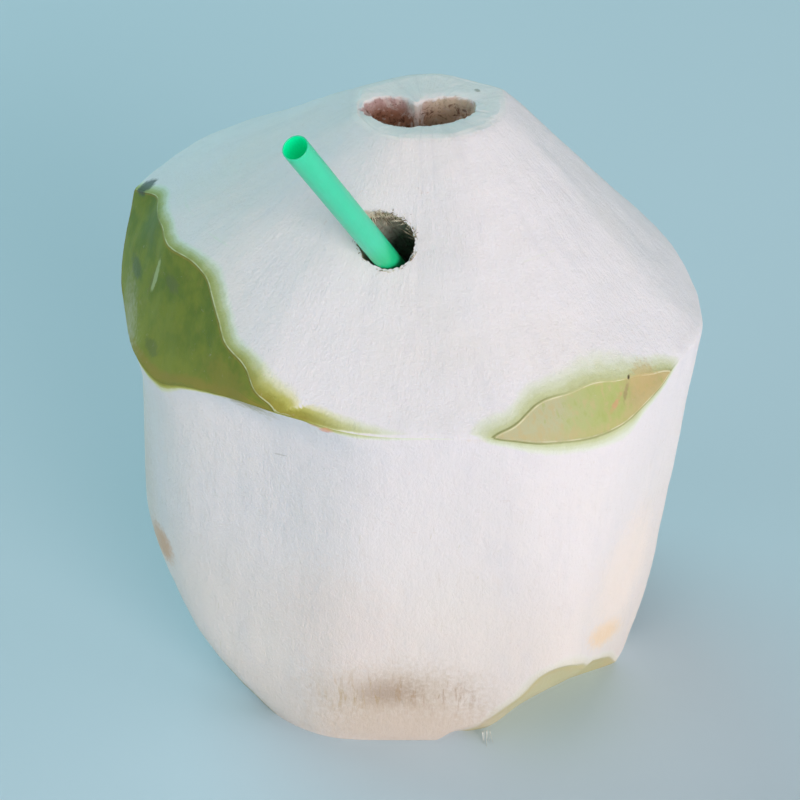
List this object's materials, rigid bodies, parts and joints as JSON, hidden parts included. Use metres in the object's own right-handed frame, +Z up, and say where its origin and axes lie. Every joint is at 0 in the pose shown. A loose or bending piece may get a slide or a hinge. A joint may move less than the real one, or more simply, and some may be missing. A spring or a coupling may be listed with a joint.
{
  "type": "young coconut",
  "caption": "Young coconut trimmed to a pale conical crown and a flat base, with patches of green skin left and a green straw leaning in its drinking hole.",
  "frame": {"origin": "middle of the flat base that the fruit stands on", "axes": "+Z up through the crown; -Y towards the side with the drinking hole, as in the picture"},
  "size_m": [0.1244, 0.1106, 0.1528],
  "materials": {
    "husk": "matte cut husk with green skin patches",
    "straw": "satin translucent green"
  },
  "bodies": {
    "root": {"coconut": "husk", "straw": "straw"}
  },
  "joints": []
}
